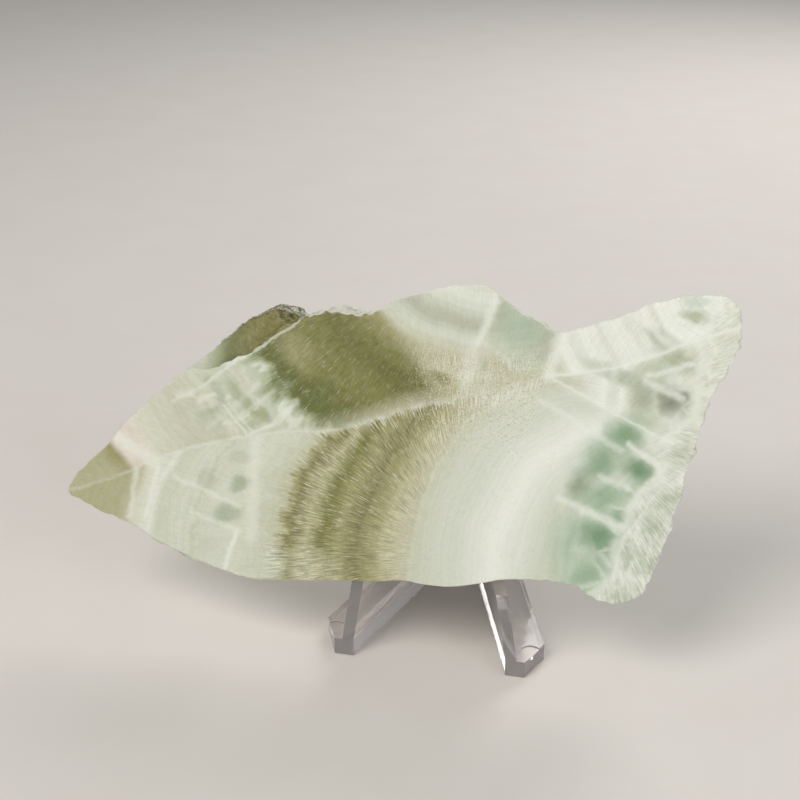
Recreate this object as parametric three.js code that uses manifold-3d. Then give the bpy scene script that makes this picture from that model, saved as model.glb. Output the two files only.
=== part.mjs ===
import * as THREE from 'three';
import Module from 'manifold-3d';
import { mergeVertices } from 'three/addons/utils/BufferGeometryUtils.js';

// Slice of banded aragonite resting on a small clear easel.
// Millimetres, Z up, X along the slice, front towards -Y.

// the slice
const sliceThickness = 8.5;
const leanBack = 24;              // degrees from upright
const faceFront = -1.5;           // where the polished face meets the height below
const faceHeight = 22.5;
const outlineSteps = 4;           // samples between two outline points
const wornEdge = 0.3;             // the cut edges are very slightly broken

// the easel
const legSpread = 18.5;           // degrees each leg turns in towards the back
const legLean = 8.5;              // degrees each upright leans in
const frontHalfGap = 17.75;       // middle plane to a foot's inner front corner
const footWidth = 8;
const footHeight = 4.2;
const footLength = 58;
const footFrontWidth = 4.5;       // front end left of the cut corner
const footCornerLength = 8;
const plateThickness = 2.5;
const seatHeight = 21.5;
const easelHeight = 58;
const restGap = 0.3;
const seamGap = 0.15;
const moundRadius = 2.4;          // round moulding mark on each foot
const moundDepth = 0.25;

const deg = THREE.MathUtils.degToRad;
const wasm = await Module();
wasm.setup();

function toSolid(geometry) {
  const plain = geometry.index ? geometry.clone() : geometry;
  plain.deleteAttribute('normal');
  plain.deleteAttribute('uv');
  const merged = mergeVertices(plain, 1e-4);
  return new wasm.Manifold(new wasm.Mesh({
    numProp: 3,
    vertProperties: new Float32Array(merged.attributes.position.array),
    triVerts: new Uint32Array(merged.index.array)
  }));
}

function toGeometry(solid) {
  const mesh = solid.getMesh();
  const geometry = new THREE.BufferGeometry();
  geometry.setAttribute('position', new THREE.BufferAttribute(new Float32Array(mesh.vertProperties), 3));
  geometry.setIndex(new THREE.BufferAttribute(new Uint32Array(mesh.triVerts), 1));
  geometry.computeVertexNormals();
  return geometry;
}

// a repeatable roughness, about -1 to 1
function rough(a, b) {
  return 0.5 * Math.sin(1.7 * a + 2.3 * b + 0.6) + 0.3 * Math.sin(4.1 * a - 3.3 * b + 1.9)
    + 0.2 * Math.sin(8.9 * a + 6.1 * b + 4.2);
}

// Outline of the polished face, anticlockwise from the left tip when seen
// from behind: across, up, and how far the back edge stands out past the front one.
const leftTip = [[-87, 12.5, -0.5], [-83.5, 18.5, 0.2], [-77.5, 25, 0.4]];
const leftSlope = [[-74, 30, 0.2], [-69, 35, 0], [-63, 41, 0], [-57, 46, 0.4], [-52, 51, 0.8]];
const shoulder = [[-47, 55.5, 1.2], [-43.5, 57.5, 1.5], [-40, 58.6, 1.6], [-37, 58.2, 1.5], [-34.6, 57.2, 1.2]];
const saddle = [[-32, 58, 1.2], [-28.5, 59, 1.6], [-23.5, 59.2, 1.6], [-19.5, 59.1, 1]];
const hump = [[-15, 61.5, 0], [-9.5, 64.4, -0.5], [-3, 66.6, -0.8], [3, 67.7, -1], [7, 67.6, -1], [10, 66.2, -0.8]];
const notch = [[13, 64, -0.4], [16.5, 62, 0], [20, 60.7, 0.2], [23, 58.7, 0.3], [26, 59.4, 0.2]];
const horn = [[35, 62.7, 0], [40.5, 65.5, 0], [45, 67.4, 0], [50, 68.7, 0], [55.5, 69.5, 0], [59, 69.1, 0]];
const rightEnd = [[61, 67.6, 0.2], [62.2, 64, 0.2], [62.3, 60, 0.2], [61.3, 56, 0], [58.9, 51, -0.3]];
const rightRim = [[57, 46, -0.4], [55.9, 41, -0.4], [55, 36, -0.4], [53.7, 31, -0.3], [53.2, 26, -0.3],
  [52, 21.5, -0.3], [50.9, 16, -0.3], [49.6, 12, -0.2], [48.2, 7, 0]];
const lowerRight = [[46.2, 3.4, 0.2], [43, 1.6, 0.4], [38, 1.3, 0.5], [35, 2.5, 0.6], [32.3, 4, 0.8]];
const underside = [[27.5, 4.4, 0.6], [21.5, 4.1, 0.5], [16.5, 3.5, 0.3], [11.5, 2, -1.4], [4.5, 0.4, -1.4],
  [-1.5, 0.3, -1.5], [-6, 0.6, -2], [-12, -0.4, -3.6], [-20, -1.1, -4.3], [-30.5, -2.3, -1]];
const lowerLeft = [[-41.5, -2.9, 1], [-48, -1.8, 2.2], [-57, 0.7, 2.6], [-63.5, 2.9, 2.4], [-69.5, 5.8, 2],
  [-77.5, 8.4, 0.8], [-84, 10.6, 0.2]];
const outlinePoints = [...leftTip, ...leftSlope, ...shoulder, ...saddle, ...hump, ...notch, ...horn,
  ...rightEnd, ...rightRim, ...lowerRight, ...underside, ...lowerLeft];

const outlineCurve = new THREE.CatmullRomCurve3(
  outlinePoints.map(([across, up, flare]) => new THREE.Vector3(across, up, flare)), true, 'centripetal');
const outline = outlineCurve.getPoints(outlinePoints.length * outlineSteps).slice(0, -1);

// outward directions, then a fine natural unevenness along the edge
const outward = outline.map((point, i) => {
  const before = outline[(i + outline.length - 1) % outline.length];
  const after = outline[(i + 1) % outline.length];
  return new THREE.Vector2(before.y - after.y, after.x - before.x).normalize();
});

function nearSeats(across, up) {
  return Math.abs(across) < 24 && up < 6;
}

outline.forEach((point, i) => {
  const crumbly = point.x > 46 && point.y < 62;
  let size = crumbly ? 0.42 : 0.16;
  if (nearSeats(point.x, point.y)) size = 0.05;
  const shift = size * rough(0.9 * i, 0.37 * i);
  point.x += outward[i].x * shift;
  point.y += outward[i].y * shift;
});

// layers of the natural wall from the polished face to the sawn back
const layers = [0, 0.5, 2.1, 4.2, 6.3, 8, sliceThickness];

function makeSlice() {
  const face = new THREE.Shape(outline.map((point) => new THREE.Vector2(point.x, point.y)));
  const geometry = new THREE.ExtrudeGeometry(face, {
    depth: layers.length - 1, steps: layers.length - 1, bevelEnabled: false
  });
  const position = geometry.attributes.position;
  for (let v = 0; v < position.count; v++) {
    let nearest = 0;
    let best = Infinity;
    for (let i = 0; i < outline.length; i++) {
      const gap = (outline[i].x - position.getX(v)) ** 2 + (outline[i].y - position.getY(v)) ** 2;
      if (gap < best) {
        best = gap;
        nearest = i;
      }
    }
    const layer = layers.length - 1 - Math.round(position.getZ(v));
    const depth = layers[layer];
    const point = outline[nearest];
    let out = point.z * depth / sliceThickness;
    const inner = layer > 0 && layer < layers.length - 1;
    const lumpy = nearSeats(point.x, point.y) ? 0.06 : (point.x > 46 ? 0.55 : 0.38);
    if (inner) out += lumpy * rough(0.55 * nearest, 1.9 * layer);
    else out -= wornEdge;
    position.setXYZ(v, point.x + outward[nearest].x * out, point.y + outward[nearest].y * out, -depth);
  }
  return toSolid(geometry);
}

// The broken ledge on the upper left: a ragged inner edge and an uneven floor
// that falls away from it, open towards the outside.
function makeLedge() {
  const ragged = [[-55.5, 43.6], [-52.5, 44.6], [-51.2, 45.6], [-49.5, 46.2], [-48.2, 47.3], [-46.3, 47.7],
    [-44.9, 48.4], [-44.2, 49.6], [-42.7, 50.3], [-41.6, 51.9], [-39.9, 52.8], [-39, 54.3], [-37.6, 55.4],
    [-36.2, 55.7], [-34.8, 56.3], [-34.2, 57.8]];
  const outside = [[-34, 64], [-52, 62], [-64, 50], [-62, 44]];
  const plan = new THREE.Shape([...ragged, ...outside].map(([x, y]) => new THREE.Vector2(x, y)));
  const column = toSolid(new THREE.ExtrudeGeometry(plan, { depth: 12, bevelEnabled: false }).translate(0, 0, -8));

  const block = new THREE.BoxGeometry(34, 24, 4, 26, 18, 1).translate(-48, 53, 2);
  const position = block.attributes.position;
  for (let v = 0; v < position.count; v++) {
    if (position.getZ(v) > 1) continue;
    const x = position.getX(v);
    const y = position.getY(v);
    const along = THREE.MathUtils.smoothstep(x, -60, -44);
    const away = THREE.MathUtils.clamp((y - 43) - 0.75 * (x + 56), 0, 9);
    const floor = 0.15 + 1.5 * along + 0.12 * away + 0.28 * along * rough(1.1 * x, 1.3 * y);
    position.setZ(v, -Math.max(floor, 0.1));
  }
  return column.intersect(toSolid(block));
}

function blockSolid(low, high) {
  const size = new THREE.Vector3().subVectors(high, low);
  const middle = new THREE.Vector3().addVectors(low, high).multiplyScalar(0.5);
  return toSolid(new THREE.BoxGeometry(size.x, size.y, size.z).translate(middle.x, middle.y, middle.z));
}

// the room that the slice takes on the easel: above the seats, in front of the rests
function makeSliceRoom() {
  const slope = Math.tan(deg(leanBack));
  const backY = faceFront + sliceThickness * Math.cos(deg(leanBack));
  const backZ = faceHeight - sliceThickness * Math.sin(deg(leanBack));
  const restY = backY + (seatHeight - backZ) * slope + restGap / Math.cos(deg(leanBack));
  const profile = new THREE.Shape([
    new THREE.Vector2(-20, seatHeight), new THREE.Vector2(restY, seatHeight),
    new THREE.Vector2(restY + 60 * slope, seatHeight + 60), new THREE.Vector2(-20, seatHeight + 60)
  ]);
  const room = new THREE.ExtrudeGeometry(profile, { depth: 80, bevelEnabled: false });
  room.rotateX(Math.PI / 2).rotateZ(Math.PI / 2).translate(-40, 0, 0);
  return toSolid(room);
}

function makeRightLeg() {
  const back = new THREE.Vector2(-Math.sin(deg(legSpread)), Math.cos(deg(legSpread)));
  const aside = new THREE.Vector2(Math.cos(deg(legSpread)), Math.sin(deg(legSpread)));
  const inner = new THREE.Vector2(frontHalfGap, 0);
  const corner = new THREE.Vector2(frontHalfGap + footWidth, footCornerLength);
  const outerBack = inner.clone().addScaledVector(back, footLength)
    .addScaledVector(aside, corner.clone().sub(inner).dot(aside));

  const sole = new THREE.Shape([
    inner, new THREE.Vector2(frontHalfGap + footFrontWidth, 0), corner, outerBack,
    inner.clone().addScaledVector(back, footLength)
  ]);
  const foot = toSolid(new THREE.ExtrudeGeometry(sole, { depth: footHeight, bevelEnabled: false }));

  // upright plate: x back along the leg, y up the plate, z outwards
  const top = (easelHeight - footHeight) / Math.cos(deg(legLean));
  const upright = new THREE.Shape();
  upright.moveTo(-6, -1);
  upright.lineTo(footLength, -1);
  upright.lineTo(footLength, 0);
  upright.lineTo(37, top - 6);
  upright.quadraticCurveTo(34.4, top, 30, top);
  upright.lineTo(-6, top);
  upright.closePath();
  const plate = new THREE.ExtrudeGeometry(upright, {
    depth: plateThickness, bevelEnabled: false, curveSegments: 6
  });
  const leanIn = new THREE.Vector3(-aside.x, -aside.y, 0).multiplyScalar(Math.sin(deg(legLean)));
  const along = new THREE.Vector3(back.x, back.y, 0);
  const up = new THREE.Vector3(0, 0, Math.cos(deg(legLean))).add(leanIn);
  const out = new THREE.Vector3().crossVectors(along, up);
  plate.applyMatrix4(new THREE.Matrix4().makeBasis(along, up, out).setPosition(frontHalfGap, 0, footHeight));

  const markCentre = new THREE.Vector2(frontHalfGap + plateThickness + 0.35 + moundRadius, 4.3);
  const mark = new THREE.CylinderGeometry(moundRadius, moundRadius, 2, 36);
  mark.rotateX(Math.PI / 2).translate(markCentre.x, markCentre.y, footHeight - moundDepth + 1);

  const far = 100;
  const aheadOfFront = blockSolid(new THREE.Vector3(-far, -far, -far), new THREE.Vector3(far, 0, far));
  const otherHalf = blockSolid(new THREE.Vector3(-far, -far, -far), new THREE.Vector3(seamGap, far, far));
  return foot.subtract(toSolid(mark)).add(toSolid(plate))
    .subtract(aheadOfFront).subtract(otherHalf).subtract(makeSliceRoom());
}

const sliceSolid = makeSlice().subtract(makeLedge());
const rightLegSolid = makeRightLeg();
const leftLegSolid = rightLegSolid.mirror([1, 0, 0]);

const slice = new THREE.Mesh(toGeometry(sliceSolid), new THREE.MeshStandardMaterial({
  color: 0xc6cdb2, roughness: 0.3, metalness: 0
}));
slice.name = 'aragonite_slice';
slice.rotation.x = deg(90 - leanBack);
slice.position.set(0, faceFront, faceHeight);

const leftLeg = new THREE.Mesh(toGeometry(leftLegSolid), new THREE.MeshStandardMaterial({
  color: 0xded6d2, roughness: 0.08, metalness: 0
}));
leftLeg.name = 'easel_leg_left';

const rightLeg = new THREE.Mesh(toGeometry(rightLegSolid), new THREE.MeshStandardMaterial({
  color: 0xdcd4d0, roughness: 0.08, metalness: 0
}));
rightLeg.name = 'easel_leg_right';

// the origin is the middle of the whole object's base
const part = new THREE.Group();
part.name = 'aragonite_slice_on_easel';
part.add(slice, leftLeg, rightLeg);
part.updateMatrixWorld(true);
const extent = new THREE.Box3().setFromObject(part, true);
part.position.set(-(extent.min.x + extent.max.x) / 2, -(extent.min.y + extent.max.y) / 2, -extent.min.z);

export default part;
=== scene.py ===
from math import atan2, hypot, pi, radians
import bpy
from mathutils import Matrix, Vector


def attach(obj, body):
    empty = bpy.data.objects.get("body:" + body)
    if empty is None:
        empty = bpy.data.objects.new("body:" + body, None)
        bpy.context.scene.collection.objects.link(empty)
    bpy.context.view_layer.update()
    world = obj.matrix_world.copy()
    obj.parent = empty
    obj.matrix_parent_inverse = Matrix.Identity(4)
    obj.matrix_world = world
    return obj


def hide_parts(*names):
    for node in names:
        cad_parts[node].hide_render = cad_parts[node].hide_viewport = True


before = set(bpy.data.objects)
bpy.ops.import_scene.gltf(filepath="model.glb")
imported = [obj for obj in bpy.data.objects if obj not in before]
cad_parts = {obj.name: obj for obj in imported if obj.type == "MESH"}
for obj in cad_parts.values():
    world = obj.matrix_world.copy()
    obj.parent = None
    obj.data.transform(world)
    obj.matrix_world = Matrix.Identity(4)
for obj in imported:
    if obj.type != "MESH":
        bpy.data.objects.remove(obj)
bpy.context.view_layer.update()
bpy.ops.object.select_all(action="DESELECT")

# where the polished face's own plane lies in the row frame, in metres
facePlane = {
    "corner": (0.012105, -0.029318, 0.0225),    # across 0, up 0 on the face
    "tilt": radians(66),                        # from flat on its back
    "faceOut": (0, -0.9135, 0.4067),            # straight out of the polished face
    "mm": 0.001,
}


def linearOf(hexText):
    # a colour picker value like "c9d0b5" as the shader's linear colour
    parts = [int(hexText[i:i + 2], 16) / 255 for i in (0, 2, 4)]
    linear = [p / 12.92 if p <= 0.04045 else ((p + 0.055) / 1.055) ** 2.4 for p in parts]
    return (*linear, 1.0)


def newGroup(name, inputs, outputs):
    tree = bpy.data.node_groups.new(name, "ShaderNodeTree")
    for label, kind, value in inputs:
        socket = tree.interface.new_socket(
            name=label, in_out="INPUT", socket_type="NodeSocket" + kind)
        if value is not None:
            socket.default_value = value
    for label, kind in outputs:
        tree.interface.new_socket(name=label, in_out="OUTPUT", socket_type="NodeSocket" + kind)
    return tree, tree.nodes.new("NodeGroupInput"), tree.nodes.new("NodeGroupOutput")


def plug(tree, value, socket):
    # a wire when it is an output, else a plain setting
    if isinstance(value, bpy.types.NodeSocket):
        tree.links.new(value, socket)
    elif value is not None:
        socket.default_value = value


def calc(tree, operation, *values):
    node = tree.nodes.new("ShaderNodeMath")
    node.operation = operation
    for i, value in enumerate(values):
        plug(tree, value, node.inputs[i])
    return node.outputs[0]


def times(tree, first, *others):
    for other in others:
        first = calc(tree, "MULTIPLY", first, other)
    return first


def closeTo(tree, gap, reach, strength=1.0):
    # 1 on a line, falling to 0 at its reach
    return remap(tree, calc(tree, "ABSOLUTE", gap), reach, 0.0, 0.0, strength)


def vectorCalc(tree, operation, *values):
    node = tree.nodes.new("ShaderNodeVectorMath")
    node.operation = operation
    for i, value in enumerate(values):
        plug(tree, value, node.inputs[i])
    return node.outputs["Value"] if operation in ("LENGTH", "DOT_PRODUCT") else node.outputs[0]


def splitPlace(tree, place):
    node = tree.nodes.new("ShaderNodeSeparateXYZ")
    tree.links.new(place, node.inputs[0])
    return node.outputs


def joinPlace(tree, x, y, z=0.0):
    node = tree.nodes.new("ShaderNodeCombineXYZ")
    for i, value in enumerate((x, y, z)):
        plug(tree, value, node.inputs[i])
    return node.outputs[0]


def remap(tree, value, low, high, toLow=0.0, toHigh=1.0, smooth=True):
    node = tree.nodes.new("ShaderNodeMapRange")
    node.interpolation_type = "SMOOTHSTEP" if smooth else "LINEAR"
    for i, item in enumerate((value, low, high, toLow, toHigh)):
        plug(tree, item, node.inputs[i])
    return node.outputs[0]


def noise(tree, place, scale, detail=2.0, roughness=0.5, colour=False):
    node = tree.nodes.new("ShaderNodeTexNoise")
    plug(tree, place, node.inputs["Vector"])
    plug(tree, scale, node.inputs["Scale"])
    plug(tree, detail, node.inputs["Detail"])
    plug(tree, roughness, node.inputs["Roughness"])
    return node.outputs["Color"] if colour else node.outputs["Fac"]


def blend(tree, factor, under, over, kind="MIX"):
    node = tree.nodes.new("ShaderNodeMix")
    node.data_type = "RGBA"
    node.blend_type = kind
    node.clamp_factor = True
    plug(tree, factor, node.inputs["Factor"])
    plug(tree, under, node.inputs[6])
    plug(tree, over, node.inputs[7])
    return node.outputs[2]


def shaded(tree, colour, shade):
    # a colour made lighter or darker
    return blend(tree, 1.0, colour, joinPlace(tree, shade, shade, shade), "MULTIPLY")


def useGroup(tree, group, **values):
    node = tree.nodes.new("ShaderNodeGroup")
    node.node_tree = group
    for label, value in values.items():
        plug(tree, value, node.inputs[label])
    return node.outputs


curveRange = {"low": -20.0, "span": 120.0}      # the heights that a drawn line may have, mm


def heightCurve(tree, across, points):
    # a line drawn over the face: its height for each place across
    node = tree.nodes.new("ShaderNodeFloatCurve")
    curve = node.mapping.curves[0]
    low, high = points[0][0], points[-1][0]
    fitted = [((a - low) / (high - low), (b - curveRange["low"]) / curveRange["span"]) for a, b in points]
    curve.points[0].location = fitted[0]
    curve.points[1].location = fitted[-1]
    for spot in fitted[1:-1]:
        curve.points.new(*spot)
    node.mapping.extend = "EXTRAPOLATED"
    node.mapping.update()
    tree.links.new(remap(tree, across, low, high, smooth=False), node.inputs["Value"])
    return calc(tree, "ADD", calc(tree, "MULTIPLY", node.outputs[0], curveRange["span"]), curveRange["low"])


print("making shader groups")

# place on the face in millimetres: across, up, and depth below the face (minus is deeper)
facePlace, groupIn, groupOut = newGroup("facePlace", [], [("Place", "Vector")])
coords = facePlace.nodes.new("ShaderNodeTexCoord")
mapping = facePlace.nodes.new("ShaderNodeMapping")
mapping.vector_type = "TEXTURE"
mapping.inputs["Location"].default_value = facePlane["corner"]
mapping.inputs["Rotation"].default_value = (facePlane["tilt"], 0, 0)
mapping.inputs["Scale"].default_value = (facePlane["mm"],) * 3
facePlace.links.new(coords.outputs["Object"], mapping.inputs["Vector"])
facePlace.links.new(mapping.outputs[0], groupOut.inputs["Place"])

# distance and direction from the middle of a growth
growthRays, groupIn, groupOut = newGroup(
    "growthRays", [("Place", "Vector", None), ("Middle", "Vector", (0, 0, 0))],
    [("Distance", "Float"), ("Turn", "Float")])
offset = vectorCalc(growthRays, "SUBTRACT", groupIn.outputs["Place"], groupIn.outputs["Middle"])
dx, dy = splitPlace(growthRays, offset)[:2]
flat = joinPlace(growthRays, dx, dy)
growthRays.links.new(vectorCalc(growthRays, "LENGTH", flat), groupOut.inputs["Distance"])
growthRays.links.new(calc(growthRays, "ARCTAN2", dy, dx), groupOut.inputs["Turn"])

# how far out a place is in a turned oval, where 1 is its edge
ovalPatch, groupIn, groupOut = newGroup(
    "ovalPatch", [("Place", "Vector", None), ("Middle", "Vector", (0, 0, 0)),
                  ("Reach", "Vector", (3, 3, 1)), ("Turn", "Vector", (0, 0, 0))], [("Far", "Float")])
oval = ovalPatch.nodes.new("ShaderNodeMapping")
oval.vector_type = "TEXTURE"
for label, socket in (("Place", "Vector"), ("Middle", "Location"),
                      ("Turn", "Rotation"), ("Reach", "Scale")):
    ovalPatch.links.new(groupIn.outputs[label], oval.inputs[socket])
ovalPatch.links.new(vectorCalc(ovalPatch, "LENGTH", oval.outputs[0]), groupOut.inputs["Far"])

# distance from a straight crack in millimetres
healedCrack, groupIn, groupOut = newGroup(
    "healedCrack", [("Place", "Vector", None), ("Middle", "Vector", (0, 0, 0)),
                    ("Turn", "Vector", (0, 0, 0)), ("Half", "Float", 5.0)], [("Gap", "Float")])
line = healedCrack.nodes.new("ShaderNodeMapping")
line.vector_type = "TEXTURE"
for label, socket in (("Place", "Vector"), ("Middle", "Location"), ("Turn", "Rotation")):
    healedCrack.links.new(groupIn.outputs[label], line.inputs[socket])
alongCrack, besideCrack = splitPlace(healedCrack, line.outputs[0])[:2]
pastEnd = calc(healedCrack, "SUBTRACT", calc(healedCrack, "ABSOLUTE", alongCrack), groupIn.outputs["Half"])
pastEnd = calc(healedCrack, "MAXIMUM", pastEnd, 0.0)
crackGap = vectorCalc(healedCrack, "LENGTH", joinPlace(healedCrack, pastEnd, besideCrack))
healedCrack.links.new(crackGap, groupOut.inputs["Gap"])

# fine fibres that run out from the middle of a growth, and the glints on them: a mask for highlights that
# are painted into the colour
fibreGrain, groupIn, groupOut = newGroup(
    "fibreGrain", [("Distance", "Float", 0.0), ("Turn", "Float", 0.0), ("Count", "Float", 160.0),
                   ("Length", "Float", 0.25)],
    [("Grain", "Float"), ("Coarse", "Float"), ("Glint", "Float")])
along = calc(fibreGrain, "MULTIPLY", groupIn.outputs["Distance"], groupIn.outputs["Length"])
aside = calc(fibreGrain, "MULTIPLY", groupIn.outputs["Turn"], groupIn.outputs["Count"])
fineGrain = noise(fibreGrain, joinPlace(fibreGrain, along, aside), 1.0, 3.0, 0.65)
slowAside = calc(fibreGrain, "MULTIPLY", aside, 0.11)
slowAlong = calc(fibreGrain, "MULTIPLY", along, 0.6)
coarseGrain = noise(fibreGrain, joinPlace(fibreGrain, slowAlong, slowAside, 4.0), 1.0, 2.0)
# the glint mask marks painted highlights, short streaks of light painted along the fibres
glintAlong = calc(fibreGrain, "MULTIPLY", along, 1.3)
glintAside = calc(fibreGrain, "MULTIPLY", aside, 1.6)
glint = noise(fibreGrain, joinPlace(fibreGrain, glintAlong, glintAside, 9.0), 1.0, 2.0)
glint = remap(fibreGrain, glint, 0.61, 0.69)
for value, label in ((fineGrain, "Grain"), (coarseGrain, "Coarse"), (glint, "Glint")):
    fibreGrain.links.new(value, groupOut.inputs[label])

print("making the stone")

# the stone's own colours
tint = {
    "milk": "ebeee3", "chalk": "dfe2d5", "mist": "d4d8c8", "pale": "ced1bc", "cream": "d5d7c3",
    "oat": "cacab5", "blush": "ddd5c7", "willow": "c2c4a8", "mint": "c3cbb4", "sage": "b4bca5",
    "fog": "bcc0ac", "leaf": "a7ae8b", "moss": "687139", "olive": "6d6e34", "bronze": "7f7e46",
    "drab": "8a865a", "khaki": "a19d70", "sand": "b7b48f", "beige": "c4c2a7", "tip": "b1b08b",
    "tipDark": "9c9665", "teal": "8aa684", "deepTeal": "7a9975", "seafoam": "b2c5b0",
    # the last tone on the next line is the near-white of the painted glint and sparkle highlights
    "sea": "9bb596", "ash": "6c7056", "smoke": "979d84", "fern": "8a9b7c", "paintedGlintWhite": "f3f0de",
    "ledgeDark": "7a753f", "ledgeLight": "9c9460", "ledgeMoss": "6e783f", "crustDark": "dcdccb",
    "crustLight": "f6f5ec", "brownCrust": "4d4c33", "pit": "3a4130",
}
tint = {name: linearOf(value) for name, value in tint.items()}

stone = {
    # the white seam where the growths met, from the left tip to where it forks, and its two forks
    "seam": [
        (-88, 12.3), (-77, 16.3), (-65, 22.2), (-58, 25.3), (-51.3, 27.7), (-45, 29.2),
        (-36, 31.3), (-24, 33), (-18.6, 35), (-13, 37.2), (-7, 39.7), (3, 42.3), (13, 45.3),
        (22.3, 49.2),
    ],
    "hornSeam": [
        (22.3, 49.2), (31.2, 50.8), (38.6, 52.9), (46.8, 56.5), (54.2, 60), (62, 63),
    ],
    "forkSeam": [
        (22.3, 49.2), (27.3, 46.9), (32.5, 44.6), (38.5, 42), (43.6, 39.8), (50, 37.4),
    ],
    "rimLine": [
        (-4, 33.5), (2.4, 35.9), (5.5, 38.4), (8.8, 40.7), (13.2, 40.3), (17, 41.6), (20.1, 41.8),
        (23.3, 43.2), (26.3, 44.6), (28.9, 46.9), (32.4, 49.4), (34.4, 47.2), (38.1, 48.2),
        (41.7, 53.2), (45.2, 54.4), (48.6, 53.8), (53.2, 54.2), (55.5, 55), (58.7, 53.8),
        (66, 56.5), (74, 58),
    ],
    "upperMiddle": (6, 85, 0),
    "notchMiddle": (24, 79, 0),
    "fanMiddle": (9, 8, 0),
    "hornMiddle": (58, 72, 0),
    "rimMiddle": (28, 42, 0),
    "archHeight": 6.0,      # where the lower bands run straight up
}

# tones across the bands, in mm: from left to right in the lower and middle stone, and by distance
# from the middle of its growth in the rest
upperBands = [
    (17, "mist"), (20, "chalk"), (22.5, "mist"), (25, "fog"), (28, "sage"), (30, "mint"),
    (32, "pale"), (34, "khaki"), (38, "bronze"), (42.5, "olive"), (47, "bronze"), (52, "bronze"),
    (56, "olive"), (59.5, "moss"), (62.5, "leaf"), (65, "mint"), (68, "pale"), (71, "mint"),
    (76, "pale"), (84, "oat"), (93.5, "cream"), (96, "blush"), (100.5, "blush"),
    (102.3, "tipDark"), (106, "tip"), (118, "tip"),
]
beigeBands = [
    (17, "mist"), (20, "chalk"), (23, "mist"), (25.5, "fog"), (27.5, "fog"), (30, "mist"),
    (31.5, "pale"), (33.5, "beige"), (37, "beige"), (40.5, "sand"), (43.5, "khaki"),
]
notchBands = [
    (18, "fog"), (21, "sage"), (24, "fog"), (27, "mint"), (29.5, "pale"), (31.5, "beige"),
    (38, "pale"),
]
lowerBands = [
    (-90, "tip"), (-74, "tip"), (-71.3, "beige"), (-69.6, "cream"), (-66, "chalk"), (-64, "pale"),
    (-58, "mist"), (-56, "pale"), (-50, "mist"), (-45, "cream"), (-41, "pale"), (-37, "willow"),
    (-34.6, "khaki"), (-32.8, "drab"), (-29, "sand"), (-25, "bronze"), (-21, "khaki"),
    (-17, "drab"), (-13.5, "khaki"), (-10.5, "sand"), (-6.5, "beige"), (-3, "pale"), (1, "mist"),
    (4.5, "mist"), (9, "chalk"), (14, "milk"), (19, "chalk"), (23, "mist"), (27, "pale"),
    (36, "mist"), (41, "mist"), (54, "pale"),
]
hornBands = [
    (5, "milk"), (8.5, "chalk"), (11, "milk"), (14, "milk"), (16, "chalk"), (17.5, "milk"),
    (21, "chalk"), (25, "milk"), (28, "chalk"), (31, "milk"), (34, "chalk"), (37, "milk"),
    (40, "beige"), (43, "sand"), (45, "beige"), (47, "milk"),
]
midBands = [
    (20, "pale"), (26, "willow"), (31, "chalk"), (34, "milk"), (36, "mist"), (38, "milk"),
    (41, "pale"), (46, "mint"), (51, "chalk"), (54, "pale"), (60, "milk"),
]


def bandColours(tree, value, bands):
    low = bands[0][0]
    span = bands[-1][0] - low
    node = tree.nodes.new("ShaderNodeValToRGB")
    elements = node.color_ramp.elements
    while len(elements) < len(bands):
        elements.new(0.5)
    for element, (place, name) in zip(elements, bands):
        element.position = (place - low) / span
        element.color = tint[name]
    plug(tree, calc(tree, "DIVIDE", calc(tree, "SUBTRACT", value, low), span), node.inputs[0])
    return node.outputs[0]


stoneMaterial = bpy.data.materials.new("polishedAragonite")
stoneMaterial.use_nodes = True
tree = stoneMaterial.node_tree
tree.nodes.clear()
place = useGroup(tree, facePlace)["Place"]
across, up, depth = splitPlace(tree, place)


def wobble(tree, place, scale, size):
    drift = noise(tree, place, scale, colour=True)
    drift = vectorCalc(tree, "SUBTRACT", drift, (0.5, 0.5, 0.5))
    return vectorCalc(tree, "ADD", place, vectorCalc(tree, "MULTIPLY", drift, (size, size, 0.0)))


# nothing in the stone is quite regular: slow bends, cloudy wisps and a slight shiver, each
# as how many to the mm and how far it moves things, mm
wobbles = {"bent": (0.07, 4.0), "cloudy": (0.3, 2.4), "shivered": (0.45, 1.3)}
bent = wobble(tree, place, *wobbles["bent"])
cloudy = wobble(tree, place, *wobbles["cloudy"])
shivered = wobble(tree, place, *wobbles["shivered"])
bentAcross, bentUp = splitPlace(tree, bent)[:2]
seamAcross, seamUp = splitPlace(tree, shivered)[:2]

overSeam = calc(tree, "SUBTRACT", seamUp, heightCurve(tree, seamAcross, stone["seam"]))
overHorn = calc(tree, "SUBTRACT", seamUp, heightCurve(tree, seamAcross, stone["hornSeam"]))
overFork = calc(tree, "SUBTRACT", seamUp, heightCurve(tree, seamAcross, stone["forkSeam"]))
cloudAcross, cloudUp = splitPlace(tree, cloudy)[:2]
pastRim = calc(tree, "SUBTRACT", cloudAcross, heightCurve(tree, cloudUp, stone["rimLine"]))

upper = useGroup(tree, growthRays, Place=bent, Middle=stone["upperMiddle"])
notch = useGroup(tree, growthRays, Place=bent, Middle=stone["notchMiddle"])
fan = useGroup(tree, growthRays, Place=place, Middle=stone["fanMiddle"])
horn = useGroup(tree, growthRays, Place=bent, Middle=stone["hornMiddle"])
upperFibres = useGroup(tree, fibreGrain, Distance=upper["Distance"], Turn=upper["Turn"],
                       Count=170.0, Length=0.3)
fanFibres = useGroup(tree, fibreGrain, Distance=fan["Distance"], Turn=fan["Turn"],
                     Count=115.0, Length=0.24)

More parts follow.
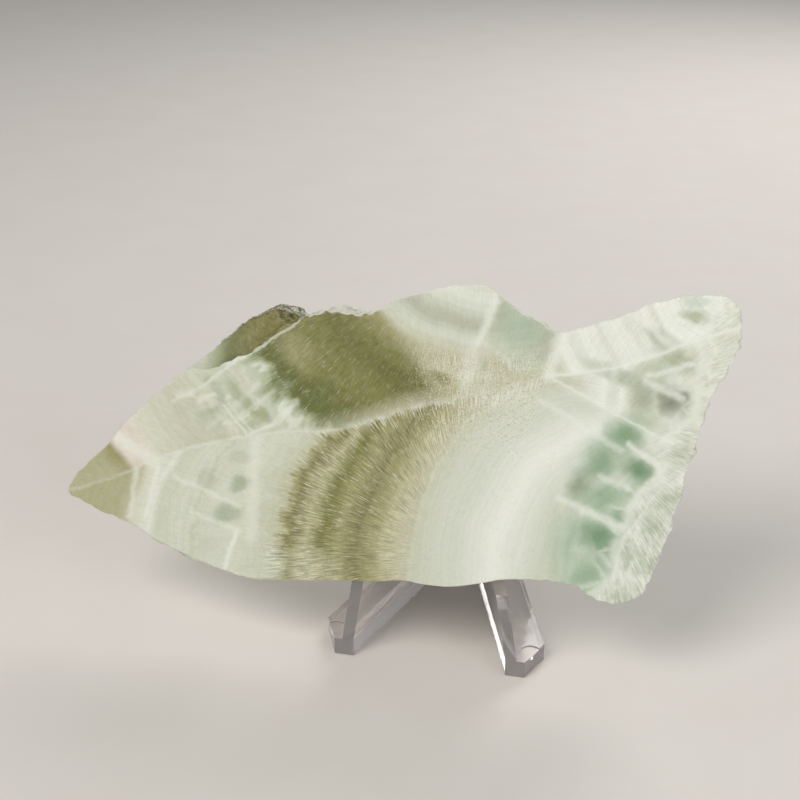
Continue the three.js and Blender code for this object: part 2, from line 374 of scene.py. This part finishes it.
# the lower bands arch over to the right, tightest at the two ends
fromArch = calc(tree, "SUBTRACT", bentUp, stone["archHeight"])
archLeft = remap(tree, bentAcross, -35.0, 5.0, 34.0, 54.0, smooth=False)
archRight = remap(tree, bentAcross, 5.0, 40.0, 54.0, 28.0, smooth=False)
archRound = calc(tree, "MINIMUM", archLeft, archRight)
archPart = calc(tree, "POWER", calc(tree, "DIVIDE", fromArch, archRound), 2.0)
archBulge = calc(tree, "ADD", 0.5, calc(tree, "MULTIPLY", archPart, 0.125))
archShift = times(tree, archPart, archRound, archBulge)
lowerPlace = calc(tree, "SUBTRACT", bentAcross, archShift)

# the cloudy edges finger out along the fibres
lowerFinger = times(tree, calc(tree, "SUBTRACT", fanFibres["Coarse"], 0.5),
                    remap(tree, lowerPlace, -24.0, -36.0, 1.5, 10.0),
                    remap(tree, lowerPlace, -64.0, -48.0, 0.1, 1.0))
upperFinger = times(tree, calc(tree, "SUBTRACT", upperFibres["Coarse"], 0.5),
                    remap(tree, upper["Distance"], 34.0, 58.0, 0.6, 13.0),
                    remap(tree, upper["Distance"], 96.0, 72.0, 0.1, 1.0))
lowerPlace = calc(tree, "ADD", lowerPlace, lowerFinger)
upperReach = calc(tree, "ADD", upper["Distance"], upperFinger)

lowerColour = bandColours(tree, lowerPlace, lowerBands)
upperColour = bandColours(tree, upperReach, upperBands)
beigeSide = calc(tree, "SUBTRACT", across, calc(tree, "SUBTRACT", upper["Distance"], 36.0))
upperColour = blend(tree, remap(tree, beigeSide, -13.0, -1.0), upperColour,
                    bandColours(tree, upperReach, beigeBands))


def besideLean(tree, fromUp, lean):
    # how far right of a leaning straight line
    leanAcross = calc(tree, "MULTIPLY", calc(tree, "SUBTRACT", seamUp, fromUp), lean)
    return calc(tree, "SUBTRACT", seamAcross, leanAcross)


humpLine = besideLean(tree, 56.0, 0.34)
upperColour = blend(tree, remap(tree, humpLine, 6.2, 7.4), upperColour,
                    bandColours(tree, notch["Distance"], notchBands))
hornColour = bandColours(tree, horn["Distance"], hornBands)
midColour = bandColours(tree, bentAcross, midBands)

aboveMain = remap(tree, overSeam, -0.3, 0.3)
aboveHorn = remap(tree, overHorn, -0.4, 0.4)
aboveFork = remap(tree, overFork, -0.4, 0.4)
notchSide = remap(tree, besideLean(tree, 49.0, 0.23), 22.0, 22.9)
leftOfFork = calc(tree, "SUBTRACT", 1.0, notchSide)
colour = blend(tree, aboveMain, lowerColour, upperColour)
rightColour = blend(tree, aboveFork, lowerColour, midColour)
rightColour = blend(tree, aboveHorn, rightColour, hornColour)
colour = blend(tree, notchSide, colour, rightColour)


def ovalFar(tree, place, middle, reach, turn):
    oval = useGroup(tree, ovalPatch, Place=place, Middle=(*middle, 0), Reach=(*reach, 1),
                    Turn=(0, 0, turn))
    return oval["Far"]


def nudged(tree, place, mask, size):
    # the stone next to a cloud or a crack is drawn a little aside
    push = calc(tree, "MULTIPLY", mask, size)
    return vectorCalc(tree, "ADD", place, joinPlace(tree, push, push))


# clouds: middle, reach, turn, tone, strength
clouds = [
    ((37.0, 30.0), (11, 12), -0.4, "seafoam", 0.55),
    ((35.0, 12.0), (11, 15), -0.1, "seafoam", 0.7),
    ((37.0, 18.0), (8, 10), -0.1, "sea", 0.65),
    ((34.5, 4.0), (7.5, 7.0), 0.2, "sea", 0.6),
    ((29.0, 12.0), (5.0, 11), 0.05, "seafoam", 0.5),
    ((38.5, 35.0), (8.0, 6.5), 0.6, "sea", 0.45),
    ((14.5, 44.4), (11, 4.2), 0.3, "cream", 0.9),
    ((-27.0, 0.0), (9, 8), 0.0, "willow", 0.6),
    ((38.5, 50.4), (12, 2.8), -0.28, "sage", 0.85),
    ((49.4, 55.2), (7.0, 2.9), -0.42, "leaf", 0.75),
    ((45.5, 59.4), (5.5, 2.6), -0.45, "fog", 0.8),
    ((52.6, 64.8), (4.2, 1.9), -0.1, "leaf", 0.7),
    ((53.0, 68.0), (4.5, 1.8), 0.0, "seafoam", 0.4),
    ((-41.6, 34.9), (2.4, 3.2), 0.8, "leaf", 1.0),
    ((-44.6, 36.6), (2.0, 5.0), 0.8, "leaf", 0.8),
    ((-47.6, 38.8), (1.8, 5.4), 0.8, "leaf", 0.6),
    ((-51.6, 38.0), (2.2, 4.0), 0.8, "sage", 0.7),
    ((-53.0, 32.4), (6.0, 4.0), 0.5, "sage", 0.45),
    ((-45.3, 18.3), (3.4, 2.8), 0.4, "fern", 0.55),
    ((-47.8, 11.2), (5.0, 3.0), 0.25, "fern", 0.5),
    ((-53.0, 18.6), (3.4, 3.6), 0.2, "fog", 0.6),
    ((-51.2, 3.8), (4.6, 3.2), 0.2, "fog", 0.2),
    ((-46.0, 24.4), (4.0, 2.4), 0.3, "fog", 0.5),
    ((-28.0, 40.4), (5.5, 3.6), 0.6, "moss", 0.75),
    ((-22.0, 37.5), (4.0, 2.4), 0.4, "moss", 0.5),
    ((-9.0, 44.6), (8.0, 3.8), -0.45, "olive", 0.8),
    ((-1.0, 46.5), (3.5, 1.8), -0.4, "bronze", 0.6),
    ((15.5, 59.0), (6.5, 6.0), 0.3, "seafoam", 0.55),
    ((-34.5, 49.5), (8.0, 5.0), -0.7, "khaki", 0.7),
    ((-37.0, 2.0), (5.0, 8.0), 0.1, "pale", 0.8),
    ((-25.0, 1.0), (2.2, 6.0), 0.1, "sand", 0.6),
]
swirl = joinPlace(tree, cloudAcross, cloudUp)
for middle, reach, turn, name, strength in clouds:
    mask = remap(tree, ovalFar(tree, swirl, middle, reach, turn), 1.0, 0.3, 0.0, strength)
    colour = blend(tree, mask, colour, tint[name])
    swirl = nudged(tree, swirl, mask, 0.25)

# green eyes, each in a rounded white cell: middle, reach, turn, tone, strength
eyes = [
    ((40.3, 38.6), (4.6, 3.9), 0.3, "teal", 1.0),
    ((35.8, 32.8), (4.2, 3.6), 0.5, "teal", 0.75),
    ((35.4, 30.6), (3.0, 2.6), 0.5, "teal", 0.7),
    ((43.8, 30.8), (3.9, 2.8), -0.5, "deepTeal", 1.0),
    ((47.4, 34.6), (2.6, 1.8), -0.5, "sage", 0.7),
    ((31.4, 26.2), (2.8, 4.6), -0.35, "fern", 0.8),
    ((37.0, 24.4), (4.4, 3.4), 0.3, "sea", 0.95),
    ((42.4, 26.0), (2.2, 2.0), 0.3, "sea", 0.6),
    ((39.6, 20.2), (3.4, 2.2), 0.2, "teal", 0.95),
    ((37.0, 15.6), (4.8, 3.4), -0.2, "deepTeal", 0.95),
    ((37.8, 12.2), (2.6, 3.0), 0.2, "teal", 0.75),
    ((35.4, 6.8), (4.0, 4.6), 0.2, "sea", 0.85),
    ((30.6, 14.6), (1.5, 6.0), 0.0, "sea", 0.45),
    ((50.0, 46.0), (3.4, 3.1), 0.1, "ash", 1.0),
    ((47.2, 46.6), (1.4, 3.6), 0.1, "smoke", 0.7),
    ((42.9, 46.2), (2.6, 3.4), 0.0, "smoke", 0.6),
]
eyeMasks = []
for middle, reach, turn, name, strength in eyes:
    far = ovalFar(tree, swirl, middle, (reach[0] * 1.5, reach[1] * 1.5), turn)
    mask = remap(tree, far, 1.0, 0.0, 0.0, strength)
    eyeMasks.append((mask, name))
    colour = blend(tree, remap(tree, far, 1.35, 0.9, 0.0, 0.1), colour, tint["milk"])
    swirl = nudged(tree, swirl, mask, 0.1)
for mask, name in eyeMasks:
    colour = blend(tree, mask, colour, tint[name])

# the white rim with fibres square to the edge, behind a scalloped line
rimRays = useGroup(tree, growthRays, Place=place, Middle=stone["rimMiddle"])
rimFibres = useGroup(tree, fibreGrain, Distance=rimRays["Distance"], Turn=rimRays["Turn"],
                     Count=85.0, Length=0.3)
rimGrain = calc(tree, "MULTIPLY", rimFibres["Grain"], 0.6)
rimCloud = calc(tree, "MULTIPLY", noise(tree, place, 0.22, 3.0), 0.4)
rimShade = remap(tree, calc(tree, "ADD", rimGrain, rimCloud), 0.37, 0.65)
rimDim = blend(tree, remap(tree, up, 30.0, 48.0), tint["sage"], tint["pale"])
rimColour = blend(tree, rimShade, rimDim, tint["milk"])
colour = blend(tree, remap(tree, pastRim, -0.4, 1.4, 0.0, 0.9), colour, rimColour)
rimGlow = closeTo(tree, pastRim, 2.2)
cells = tree.nodes.new("ShaderNodeTexVoronoi")
cells.feature = "DISTANCE_TO_EDGE"
plug(tree, vectorCalc(tree, "MULTIPLY", cloudy, (1.0, 1.1, 0.0)), cells.inputs["Vector"])
cells.inputs["Scale"].default_value = 0.16
cellWall = remap(tree, cells.outputs["Distance"], 0.16, 0.0)
cellZone = times(tree, remap(tree, pastRim, -7.0, -2.0, 0.0, 0.8), remap(tree, pastRim, 7.0, 2.0))
rimGlow = calc(tree, "MAXIMUM", rimGlow, calc(tree, "MULTIPLY", cellWall, cellZone))
colour = blend(tree, calc(tree, "MULTIPLY", rimGlow, 0.6), colour, tint["milk"])


def growthLines(tree, value, fineness, apart, crisp=0.72):
    # apart keeps one set of lines from looking like the next
    along = joinPlace(tree, calc(tree, "MULTIPLY", value, fineness), 0.0, apart)
    return noise(tree, along, 1.0, 4.0, crisp)


# fine growth lines over the pale parts
lineRings = growthLines(tree, lowerPlace, 0.8, 3.0)
hornRings = growthLines(tree, horn["Distance"], 0.8, 7.0)
upperRings = growthLines(tree, upper["Distance"], 0.5, 5.0, 0.7)
rings = blend(tree, aboveMain, lineRings, upperRings)
rings = blend(tree, calc(tree, "MULTIPLY", notchSide, aboveHorn), rings, hornRings)
ringShade = remap(tree, rings, 0.35, 0.65, 0.945, 1.04)
colour = shaded(tree, colour, ringShade)

# fibres show most in the olive stone, faintly everywhere else
oliveLower = times(tree, remap(tree, lowerPlace, -1.0, -9.0), remap(tree, lowerPlace, -40.0, -34.0),
                   leftOfFork, calc(tree, "SUBTRACT", 1.0, aboveMain))
oliveUpper = times(tree, remap(tree, upperReach, 31.0, 35.0), remap(tree, upperReach, 65.0, 61.0),
                   aboveMain, leftOfFork)
fanShade = remap(tree, fanFibres["Grain"], 0.32, 0.68, 0.68, 1.36)
upperShade = remap(tree, upperFibres["Grain"], 0.32, 0.68, 0.8, 1.2)
fanAmount = calc(tree, "MAXIMUM", oliveLower, remap(tree, lowerPlace, 8.0, -4.0, 0.0, 0.12))
colour = blend(tree, fanAmount, colour, shaded(tree, colour, fanShade))
colour = blend(tree, oliveUpper, colour, shaded(tree, colour, upperShade))

# light streaks and dim gaps along the fibres where the upper stone turns pale
streakZone = times(tree, remap(tree, upperReach, 62.0, 66.0),
                   remap(tree, upper["Distance"], 88.0, 76.0), aboveMain)
streak = upperFibres["Coarse"]
dimGap = times(tree, remap(tree, streak, 0.46, 0.34, 0.0, 0.5), streakZone)
colour = blend(tree, dimGap, colour, tint["leaf"])
lightStreak = times(tree, remap(tree, streak, 0.54, 0.66, 0.0, 0.5), streakZone)
colour = blend(tree, lightStreak, colour, tint["milk"])

# the main seam is thin on the left, and further right a fringe of white needles under a beige glow
toothed = times(tree, remap(tree, across, -38.0, -28.0),
                remap(tree, fanFibres["Grain"], 0.42, 0.68, 0.0, 3.6))
belowSeam = calc(tree, "MULTIPLY", overSeam, -1.0)
fringe = times(
    tree,
    remap(tree, belowSeam, calc(tree, "ADD", toothed, 0.2), calc(tree, "SUBTRACT", toothed, 1.0)),
    remap(tree, overSeam, 1.3, -0.5),
    remap(tree, across, -40.0, -30.0),
    remap(tree, fanFibres["Coarse"], 0.36, 0.62, 0.25, 1.0))
thinLine = times(
    tree,
    closeTo(tree, overSeam, 0.75),
    remap(tree, noise(tree, place, 0.25, 2.0), 0.35, 0.6, 0.35, 0.9),
    remap(tree, across, -30.0, -12.0, 1.0, 0.3),
    remap(tree, across, -72.0, -62.0, 0.5, 1.0))
mainSeam = calc(tree, "MULTIPLY", calc(tree, "MAXIMUM", thinLine, fringe), leftOfFork)
halo = times(tree, remap(tree, overSeam, 5.0, 0.3), remap(tree, belowSeam, 1.2, 0.0), leftOfFork,
             remap(tree, across, -36.0, -14.0, 0.35, 1.0))
colour = blend(tree, calc(tree, "MULTIPLY", halo, 0.65), colour, tint["beige"])
colour = blend(tree, calc(tree, "MULTIPLY", mainSeam, 0.7), colour, tint["chalk"])
rightOfFork = remap(tree, seamAcross, 21.5, 22.6)
hornGlow = calc(tree, "ADD", closeTo(tree, overHorn, 2.2, 0.4), closeTo(tree, overHorn, 0.7, 0.35))
forkGlow = calc(tree, "ADD", closeTo(tree, overFork, 1.8, 0.35), closeTo(tree, overFork, 0.5, 0.35))
forkGlow = calc(tree, "MULTIPLY", forkGlow, remap(tree, across, 54.0, 48.0))
rightSeams = calc(tree, "MULTIPLY", calc(tree, "MAXIMUM", hornGlow, forkGlow), rightOfFork)
colour = blend(tree, rightSeams, colour, tint["milk"])

# healed cracks and band edges: start, end, half width, strength
cracks = [
    ((22.3, 49.2), (24.6, 58.9), 1.1, 0.7),
    ((9.8, 64.4), (6.3, 54.6), 0.8, 0.65),
    ((6.3, 54.6), (3.9, 47.4), 1.6, 0.4),
    ((-40.8, 51.6), (-34.6, 56.3), 0.3, 0.5),
    ((-44.2, 48.7), (-40.8, 51.6), 0.3, 0.5),
    ((-44.5, 48.9), (-49.6, 45.4), 0.3, 0.55),
    ((-49.6, 45.4), (-55.6, 40.0), 0.35, 0.45),
    ((-55.6, 40.0), (-62.8, 35.6), 0.4, 0.35),
    ((-43.6, 29.9), (-38.6, 32.6), 0.45, 0.6),
    ((-38.6, 32.6), (-33.6, 38.2), 0.6, 0.4),
    ((-50.6, 35.8), (-44.6, 29.8), 0.28, 0.5),
    ((-49.6, 36.6), (-43.3, 30.5), 0.22, 0.4),
    ((-53.8, 30.4), (-42.6, 41.4), 0.55, 0.25),
    ((-47.0, 33.4), (-39.5, 40.0), 0.5, 0.3),
    ((-77.4, 26.9), (-66.3, 21.6), 1.4, 0.6),
    ((-65.0, 21.2), (-67.2, 8.6), 0.45, 0.6),
    ((-70.4, 18.9), (-71.0, 8.0), 0.6, 0.5),
    ((-61.2, 18.5), (-44.9, 13.3), 0.45, 0.45),
    ((-56.2, 10.7), (-44.4, 7.6), 0.45, 0.4),
    ((-45.1, 7.8), (-47.4, -1.4), 0.45, 0.7),
    ((-42.4, 29.0), (-41.6, 6.0), 1.2, 0.35),
    ((21.0, 43.8), (39.5, 34.6), 0.6, 0.45),
    ((27.5, 22.9), (32.7, 20.9), 0.7, 0.6),
    ((32.7, 20.9), (40.6, 18.0), 0.8, 0.7),
    ((41.0, 36.0), (47.3, 32.2), 0.6, 0.7),
    ((47.3, 32.2), (49.1, 28.9), 0.7, 0.6),
    ((35.5, 28.4), (41.6, 26.6), 0.6, 0.5),
    ((43.3, 49.8), (51.4, 46.9), 0.7, 0.6),
    ((43.8, 51.2), (52.8, 54.3), 0.5, 0.6),
    ((36.5, 51.5), (36.8, 43.5), 0.7, 0.4),
    ((34.4, 50.0), (35.0, 44.0), 0.4, 0.35),
    ((42.0, 62.4), (47.0, 58.8), 0.7, 0.6),
    ((37.0, 61.0), (41.5, 56.0), 0.5, 0.35),
]
crackPlace = joinPlace(tree, seamAcross, seamUp)
crackGlow = 0.0
for start, end, half, strength in cracks:
    run = (end[0] - start[0], end[1] - start[1])
    gap = useGroup(tree, healedCrack, Place=crackPlace,
                   Middle=((start[0] + end[0]) / 2, (start[1] + end[1]) / 2, 0),
                   Turn=(0, 0, atan2(run[1], run[0])), Half=hypot(*run) / 2)["Gap"]
    glow = remap(tree, gap, half * 2.2, 0.0, 0.0, strength)
    crackGlow = calc(tree, "MAXIMUM", crackGlow, glow)
    crackPlace = nudged(tree, crackPlace, glow, 0.1)
colour = blend(tree, crackGlow, colour, tint["milk"])

# painted highlights: glints painted along the fibres and sparkling specks painted in the grainy middle,
# which also gets dark specks of grain
grainy = times(
    tree,
    remap(tree, across, -14.0, 0.0), remap(tree, across, 30.0, 18.0),
    remap(tree, up, 24.0, 40.0),
    leftOfFork,
    remap(tree, upper["Distance"], 29.0, 36.0))
paintedSparkles = remap(tree, noise(tree, place, 2.6, 1.0), 0.58, 0.68)
darkPlace = vectorCalc(tree, "ADD", place, (40.0, 0.0, 0.0))
darkSpecks = remap(tree, noise(tree, darkPlace, 2.0, 1.0), 0.58, 0.7)
fanGlints = calc(tree, "MULTIPLY", fanFibres["Glint"], calc(tree, "MAXIMUM", oliveLower, grainy))
upperGlints = times(tree, upperFibres["Glint"], oliveUpper, 0.5)
paintedGlints = calc(tree, "MAXIMUM", fanGlints, upperGlints)
paintedGlints = calc(tree, "MAXIMUM", paintedGlints, times(tree, paintedSparkles, grainy, 0.7))
colour = blend(tree, times(tree, darkSpecks, grainy, 0.4), colour, tint["bronze"])
# the glints and sparkles are painted highlights, laid into the colour as near-white
colour = blend(tree, calc(tree, "MULTIPLY", paintedGlints, 0.75), colour, tint["paintedGlintWhite"])

# the natural skin round the edge and the broken ledge are rough, the sawn faces polished
coords = tree.nodes.new("ShaderNodeTexCoord")
facing = vectorCalc(tree, "DOT_PRODUCT", coords.outputs["Normal"], facePlane["faceOut"])
skin = remap(tree, calc(tree, "ABSOLUTE", facing), 0.8, 0.45)
ledge = times(tree, remap(tree, depth, -0.06, -0.14), remap(tree, depth, -4.0, -3.0),
              remap(tree, up, 38.0, 43.0), remap(tree, across, -31.5, -33.0))
grit = noise(tree, place, 0.9, 5.0, 0.7)
ledgeTone = blend(tree, remap(tree, grit, 0.3, 0.7), tint["ledgeDark"], tint["ledgeLight"])
for right, left, strength, name in ((-45.0, -51.0, 0.8, "ledgeMoss"), (-50.5, -54.0, 1.0, "leaf"),
                                    (-53.0, -57.0, 1.0, "pale")):
    ledgeTone = blend(tree, remap(tree, across, right, left, 0.0, strength), ledgeTone, tint[name])
ledgeTone = blend(tree, remap(tree, grit, 0.62, 0.8), ledgeTone, tint["beige"])
colour = blend(tree, calc(tree, "MULTIPLY", ledge, 0.9), colour, ledgeTone)
skinTone = noise(tree, place, 0.5, 5.0, 0.68)
skinColour = blend(tree, remap(tree, skinTone, 0.35, 0.65), tint["crustDark"], tint["crustLight"])
brownSkin = times(tree, remap(tree, across, -32.5, -35.0), remap(tree, up, 53.0, 55.5),
                  remap(tree, grit, 0.62, 0.42))
skinColour = blend(tree, brownSkin, skinColour, tint["brownCrust"])
colour = blend(tree, calc(tree, "MULTIPLY", skin, 0.75), colour, skinColour)
pocket = times(tree, remap(tree, ovalFar(tree, swirl, (-38.0, 57.6), (4.2, 1.8), 0.1), 1.0, 0.4),
               remap(tree, grit, 0.56, 0.42, 0.0, 0.85))
colour = blend(tree, pocket, colour, tint["pit"])

stoneFinish = {
    "bend": 1.6,                # refraction
    "glow": 0.3,                # how much light spreads under the surface, and how far, m
    "glowReach": 0.0018,
    "glowTint": (1.0, 0.95, 0.8),
    "polish": (0.24, 0.36),     # roughness of the sawn faces
    "skinRough": 0.4,           # added on the skin and the ledge
    "skinBump": 0.0006,
}
shader = tree.nodes.new("ShaderNodeBsdfPrincipled")
shader.inputs["IOR"].default_value = stoneFinish["bend"]
shader.inputs["Subsurface Weight"].default_value = stoneFinish["glow"]
shader.inputs["Subsurface Radius"].default_value = stoneFinish["glowTint"]
shader.inputs["Subsurface Scale"].default_value = stoneFinish["glowReach"]
tree.links.new(colour, shader.inputs["Base Color"])
rough = calc(tree, "MAXIMUM", skin, ledge)
polish = remap(tree, noise(tree, place, 0.5, 3.0), 0.3, 0.7, *stoneFinish["polish"])
roughness = calc(tree, "ADD", polish, calc(tree, "MULTIPLY", rough, stoneFinish["skinRough"]))
tree.links.new(roughness, shader.inputs["Roughness"])
bump = tree.nodes.new("ShaderNodeBump")
bump.inputs["Distance"].default_value = stoneFinish["skinBump"]
tree.links.new(calc(tree, "MULTIPLY", grit, rough), bump.inputs["Height"])
tree.links.new(bump.outputs[0], shader.inputs["Normal"])
output = tree.nodes.new("ShaderNodeOutputMaterial")
tree.links.new(shader.outputs[0], output.inputs["Surface"])

print("making the clear plastic")

plastic = {
    "base": (0.98, 0.945, 0.925, 1),
    "bend": 1.49,               # refraction
    "clear": 0.86,
    "scuffs": 900.0,            # how many to the metre
    "rough": (0.03, 0.12),
    "waves": 160.0,             # the moulding's slight unevenness, how many to the metre
    "waveHeight": 0.0001,
    "waveStrength": 0.25,
}
plasticMaterial = bpy.data.materials.new("clearMouldedPlastic")
plasticMaterial.use_nodes = True
tree = plasticMaterial.node_tree
tree.nodes.clear()
coords = tree.nodes.new("ShaderNodeTexCoord")
scuffs = noise(tree, coords.outputs["Object"], plastic["scuffs"], 4.0, 0.6)
shader = tree.nodes.new("ShaderNodeBsdfPrincipled")
shader.inputs["Base Color"].default_value = plastic["base"]
shader.inputs["IOR"].default_value = plastic["bend"]
shader.inputs["Transmission Weight"].default_value = plastic["clear"]
tree.links.new(remap(tree, scuffs, 0.4, 0.75, *plastic["rough"]), shader.inputs["Roughness"])
bump = tree.nodes.new("ShaderNodeBump")
bump.inputs["Distance"].default_value = plastic["waveHeight"]
bump.inputs["Strength"].default_value = plastic["waveStrength"]
waves = noise(tree, coords.outputs["Object"], plastic["waves"], 2.0)
tree.links.new(waves, bump.inputs["Height"])
tree.links.new(bump.outputs[0], shader.inputs["Normal"])
output = tree.nodes.new("ShaderNodeOutputMaterial")
tree.links.new(shader.outputs[0], output.inputs["Surface"])


def giveMaterial(piece, material):
    piece.data.materials.clear()
    piece.data.materials.append(material)


def mergedCopy(nodeName, pieceName, merge=0.00001):
    # a CAD node's own mesh, joined up so that it can be worked on
    piece = bpy.data.objects.new(pieceName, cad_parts[nodeName].data.copy())
    bpy.context.collection.objects.link(piece)
    bpy.ops.object.select_all(action="DESELECT")
    piece.select_set(True)
    bpy.context.view_layer.objects.active = piece
    bpy.ops.object.mode_set(mode="EDIT")
    bpy.ops.mesh.select_all(action="SELECT")
    bpy.ops.mesh.remove_doubles(threshold=merge)
    bpy.ops.object.mode_set(mode="OBJECT")
    return piece


print("shaping the slice")

sliceShape = {
    "thickness": 8.5,                           # mm
    "sharpEdge": 0.35,                          # kept crisp this far from either face, mm
    "sideOn": 0.85,                             # below this a face belongs to the skin
    "flatOn": 0.9995,                           # above this it belongs to a sawn face
    "sunkFrom": 0.1,                            # a face this far below either one is broken, mm
    "fade": 1.2,                                # the lumps grow to full size over this, mm
    "cuts": 2,
    "lumps": (0.005, 0.0006),                   # size and depth of the broken skin's lumps, m
    "grains": (0.0011, 0.0003),
    "smoothAngle": radians(38),
}
slicePiece = mergedCopy("aragonite_slice", "polishedSlice")
faceCorner = Vector(facePlane["corner"])
faceOut = Vector(facePlane["faceOut"])


def depthBelow(place):
    return -(place - faceCorner).dot(faceOut) / facePlane["mm"]


# the natural skin and the broken ledge get more faces, the two sawn faces stay flat
for polygon in slicePiece.data.polygons:
    sideOn = abs(polygon.normal.dot(faceOut)) < sliceShape["sideOn"]
    below = depthBelow(polygon.center)
    sunk = sliceShape["sunkFrom"] < below < sliceShape["thickness"] - sliceShape["sunkFrom"]
    polygon.select = sideOn or sunk
bpy.ops.object.mode_set(mode="EDIT")
bpy.ops.mesh.select_mode(type="FACE")
bpy.ops.mesh.subdivide(number_cuts=sliceShape["cuts"])
bpy.ops.object.mode_set(mode="OBJECT")
skinGroup = slicePiece.vertex_groups.new(name="brokenSkin")
for vertex in slicePiece.data.vertices:
    below = depthBelow(vertex.co)
    margin = min(below, sliceShape["thickness"] - below) - sliceShape["sharpEdge"]
    if margin > 0:
        skinGroup.add([vertex.index], min(1.0, margin / sliceShape["fade"]), "REPLACE")
for label in ("lumps", "grains"):
    size, depthOf = sliceShape[label]
    cloud = bpy.data.textures.new("skin" + label.capitalize(), "CLOUDS")
    cloud.noise_scale = size
    cloud.noise_depth = 3
    rough = slicePiece.modifiers.new("skin" + label.capitalize(), "DISPLACE")
    rough.texture = cloud
    rough.texture_coords = "LOCAL"
    rough.mid_level = 1.0
    rough.strength = depthOf
    rough.vertex_group = "brokenSkin"
    bpy.ops.object.modifier_apply(modifier=rough.name)
bpy.ops.object.shade_smooth_by_angle(angle=sliceShape["smoothAngle"])
for polygon in slicePiece.data.polygons:
    if abs(polygon.normal.dot(faceOut)) > sliceShape["flatOn"]:
        polygon.use_smooth = False    # the sawn faces are dead flat
print("slice faces", len(slicePiece.data.polygons))

print("softening the easel's edges")

legShape = {"softEdge": 0.00035, "segments": 2, "bevelFrom": radians(25), "smoothAngle": radians(14)}
legPieces = []
for side in ("left", "right"):
    leg = mergedCopy("easel_leg_" + side, "clearLeg" + side.capitalize())
    bpy.ops.object.mode_set(mode="EDIT")
    bpy.ops.mesh.select_all(action="SELECT")
    bpy.ops.mesh.dissolve_limited(angle_limit=radians(1))
    bpy.ops.object.mode_set(mode="OBJECT")
    soften = leg.modifiers.new("softEdge", "BEVEL")
    soften.width = legShape["softEdge"]
    soften.segments = legShape["segments"]
    soften.limit_method = "ANGLE"
    soften.angle_limit = legShape["bevelFrom"]
    bpy.ops.object.modifier_apply(modifier=soften.name)
    bpy.ops.object.shade_smooth_by_angle(angle=legShape["smoothAngle"])
    legPieces.append(leg)

giveMaterial(slicePiece, stoneMaterial)
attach(slicePiece, "root")
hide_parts("aragonite_slice")
for side, leg in zip(("left", "right"), legPieces):
    giveMaterial(leg, plasticMaterial)
    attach(leg, "root")
    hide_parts("easel_leg_" + side)
giveMaterial(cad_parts["aragonite_slice"], stoneMaterial)
giveMaterial(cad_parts["easel_leg_left"], plasticMaterial)
giveMaterial(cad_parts["easel_leg_right"], plasticMaterial)

print("setting the stage")

studio = {
    "floorSize": 3.0,
    "floorDrop": 0.0002,
    "paper": ("d6d1ca", "dcd8d2"),
    "air": (0.95, 0.96, 1.0, 1),
    "airStrength": 0.3,
    "aim": (0.0, -0.01, 0.05),
    "lampSize": 0.5,
}
bpy.ops.mesh.primitive_plane_add(size=studio["floorSize"], location=(0, 0, -studio["floorDrop"]))
floor = bpy.context.object
floor.name = "studioFloor"
floorMaterial = bpy.data.materials.new("palePaper")
floorMaterial.use_nodes = True
tree = floorMaterial.node_tree
paper = tree.nodes["Principled BSDF"]
paper.inputs["Roughness"].default_value = 0.9
coords = tree.nodes.new("ShaderNodeTexCoord")
paperTone = noise(tree, coords.outputs["Object"], 40.0, 3.0)
darker, lighter = studio["paper"]
paperColour = blend(tree, paperTone, linearOf(darker), linearOf(lighter))
tree.links.new(paperColour, paper.inputs["Base Color"])
floor.data.materials.append(floorMaterial)

world = bpy.data.worlds.new("studioAir")
bpy.context.scene.world = world
world.use_nodes = True
world.node_tree.nodes["Background"].inputs["Color"].default_value = studio["air"]
world.node_tree.nodes["Background"].inputs["Strength"].default_value = studio["airStrength"]


def softLight(name, place, power, warmth):
    light = bpy.data.lights.new(name, "AREA")
    light.shape = "DISK"
    light.size = studio["lampSize"]
    light.energy = power
    light.color = warmth
    lamp = bpy.data.objects.new(name, light)
    bpy.context.collection.objects.link(lamp)
    lamp.location = place
    fromAim = lamp.location - Vector(studio["aim"])
    lamp.rotation_euler = fromAim.to_track_quat("Z", "Y").to_euler()


softLight("keyLight", (-0.35, -0.55, 0.75), 5.1, (1.0, 0.97, 0.92))
softLight("fillLight", (0.6, -0.45, 0.35), 1.8, (0.95, 0.97, 1.0))
softLight("backLight", (0.2, 0.6, 0.5), 2.4, (1.0, 0.98, 0.95))

view = {
    "place": (0.0608, -0.2854, 0.1981),
    "down": radians(26.36),
    "turn": radians(12.13),
    "focal": 63,
    "film": 36,
    "nearest": 0.005,
}
camera = bpy.data.cameras.new("viewCamera")
camera.lens = view["focal"]
camera.sensor_width = view["film"]
camera.clip_start = view["nearest"]
cameraObject = bpy.data.objects.new("viewCamera", camera)
bpy.context.collection.objects.link(cameraObject)
cameraObject.location = view["place"]
cameraObject.rotation_euler = (pi / 2 - view["down"], 0, view["turn"])
bpy.context.scene.camera = cameraObject
bpy.context.scene.view_settings.view_transform = "Standard"

print("finished")
